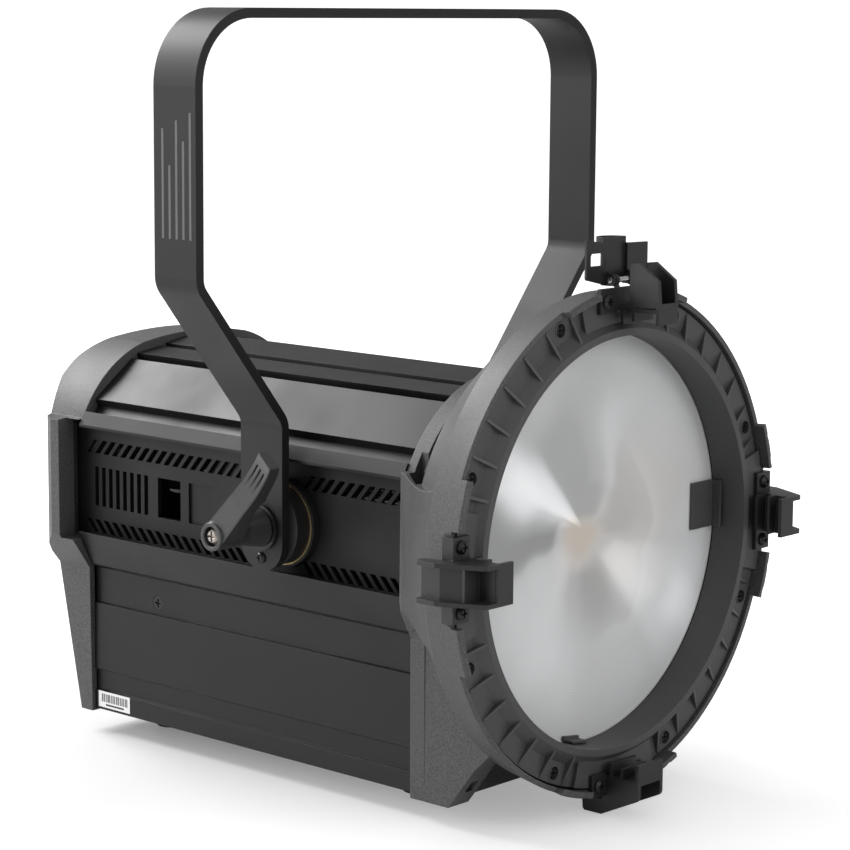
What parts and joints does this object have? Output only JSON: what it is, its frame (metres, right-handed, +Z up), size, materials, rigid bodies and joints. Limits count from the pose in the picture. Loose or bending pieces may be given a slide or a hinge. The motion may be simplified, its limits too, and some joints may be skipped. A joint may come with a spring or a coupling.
{
  "type": "fresnel spotlight",
  "caption": "Black stage spotlight with a large stepped lens, ribbed accessory ring with clips, ribbed body, yoke and clamping levers.",
  "frame": {"origin": "on the floor under the middle of the lamp's length, with the lamp standing on its rubber feet", "axes": "+Z up, -Y is where the light goes, +X across the lamp along the tilt axis"},
  "size_m": [0.312, 0.3894, 0.4045],
  "materials": {
    "cast": "fine textured black powder coat on cast aluminium",
    "extrusion": "matt black anodised aluminium extrusion",
    "yoke_bar": "satin black powder coated steel bar",
    "moulding": "satin black glass-filled plastic",
    "sheet": "black coated sheet steel",
    "lens": "clear stepped lens",
    "silicone": "black silicone",
    "rubber": "black rubber",
    "dark_screw": "blackened steel",
    "steel": "plain steel",
    "brass": "brass",
    "aluminium": "plain aluminium",
    "panel": "black control panel",
    "display": "smoked display window",
    "key": "grey moulded key",
    "board": "green circuit board with components",
    "emitter": "yellow phosphor on a white board",
    "reflector": "polished"
  },
  "bodies": {
    "housing": {"front_casting": "cast", "accessory_ring": "moulding", "fresnel_lens": "lens", "lens_gaskets": "silicone", "lens_clamps": "sheet", "left_clip": "moulding", "right_clip": "moulding", "bottom_clip": "moulding", "top_clip": "moulding", "clip_screws": "dark_screw", "ring_screws": "dark_screw", "latch_pin": "steel", "top_shell": "extrusion", "right_side_panel": "extrusion", "left_side_panel": "extrusion", "right_vent_panel": "moulding", "left_vent_panel": "moulding", "panel_screws": "dark_screw", "base_plate": "sheet", "rubber_feet": "rubber", "rear_casting": "cast", "rear_screws": "dark_screw", "rear_panel": "panel", "display_window": "display", "mains_inlet": "moulding", "data_sockets": "moulding", "safety_eye": "steel", "fan_frame": "moulding", "fan_grille": "sheet", "front_bulkhead": "aluminium", "rear_bulkhead": "aluminium", "guide_rods": "steel", "zoom_motor": "sheet", "power_supply": "aluminium", "control_board": "board", "pivot_bosses": "moulding", "friction_discs": "brass"},
    "yoke": {"yoke": "yoke_bar", "yoke_knuckles": "moulding", "yoke_screws": "dark_screw", "clamp_washers": "dark_screw"},
    "left_clamp": {"left_clamp_stud": "steel", "left_lever_screw": "steel"},
    "left_handle": {"left_lever": "moulding"},
    "right_clamp": {"right_clamp_stud": "steel", "right_lever_screw": "steel"},
    "right_handle": {"right_lever": "moulding"},
    "latch": {"top_latch": "sheet"},
    "zoom_drive": {"zoom_screw": "steel"},
    "carriage": {"led_carriage": "aluminium", "carriage_bushes": "brass", "zoom_nut": "brass", "heat_sink": "aluminium", "led_module": "emitter", "led_reflector": "reflector"},
    "fan": {"fan_rotor": "moulding"},
    "menu_key": {"menu_button": "key"},
    "down_key": {"down_button": "key"},
    "up_key": {"up_button": "key"},
    "enter_key": {"enter_button": "key"}
  },
  "joints": [
    {"name": "yoke_tilt", "type": "hinge", "parent": "housing", "child": "yoke", "pos_m": [0, -0.0093, 0.14], "axis": [1, 0, 0], "range_deg": [-135, 135]},
    {"name": "left_clamp_turn", "type": "hinge", "parent": "housing", "child": "left_clamp", "pos_m": [-0.1, -0.0093, 0.14], "axis": [-1, 0, 0], "range_deg": [-10, 180]},
    {"name": "right_clamp_turn", "type": "hinge", "parent": "housing", "child": "right_clamp", "pos_m": [0.1, -0.0093, 0.14], "axis": [1, 0, 0], "range_deg": [-10, 180]},
    {"name": "left_handle_lift", "type": "slide", "parent": "left_clamp", "child": "left_handle", "axis": [-1, 0, 0], "range_m": [0, 0.004], "stiffness_N_per_m": 800},
    {"name": "right_handle_lift", "type": "slide", "parent": "right_clamp", "child": "right_handle", "axis": [1, 0, 0], "range_m": [0, 0.004], "stiffness_N_per_m": 800},
    {"name": "latch_swing", "type": "hinge", "parent": "housing", "child": "latch", "pos_m": [0, -0.1653, 0.273], "axis": [1, 0, 0], "range_deg": [0, 70]},
    {"name": "zoom_travel", "type": "slide", "parent": "housing", "child": "carriage", "axis": [0, 1, 0], "range_m": [-0.07, 0.04]},
    {"name": "zoom_screw_spin", "type": "hinge", "parent": "housing", "child": "zoom_drive", "pos_m": [0, 0.0307, 0.056], "axis": [0, 1, 0], "range_deg": [-3200, 1850]},
    {"name": "fan_spin", "type": "hinge", "parent": "housing", "child": "fan", "pos_m": [0, 0.1597, 0.163], "axis": [0, 1, 0], "continuous": true},
    {"name": "menu_press", "type": "slide", "parent": "housing", "child": "menu_key", "axis": [0, -0.9813, 0.1925], "range_m": [0, 0.0012], "stiffness_N_per_m": 500},
    {"name": "down_press", "type": "slide", "parent": "housing", "child": "down_key", "axis": [0, -0.9813, 0.1925], "range_m": [0, 0.0012], "stiffness_N_per_m": 500},
    {"name": "up_press", "type": "slide", "parent": "housing", "child": "up_key", "axis": [0, -0.9813, 0.1925], "range_m": [0, 0.0012], "stiffness_N_per_m": 500},
    {"name": "enter_press", "type": "slide", "parent": "housing", "child": "enter_key", "axis": [0, -0.9813, 0.1925], "range_m": [0, 0.0012], "stiffness_N_per_m": 500}
  ],
  "couplings": [
    {"joint": "zoom_screw_spin", "follows": "zoom_travel", "rad_per_m": 785.4}
  ]
}
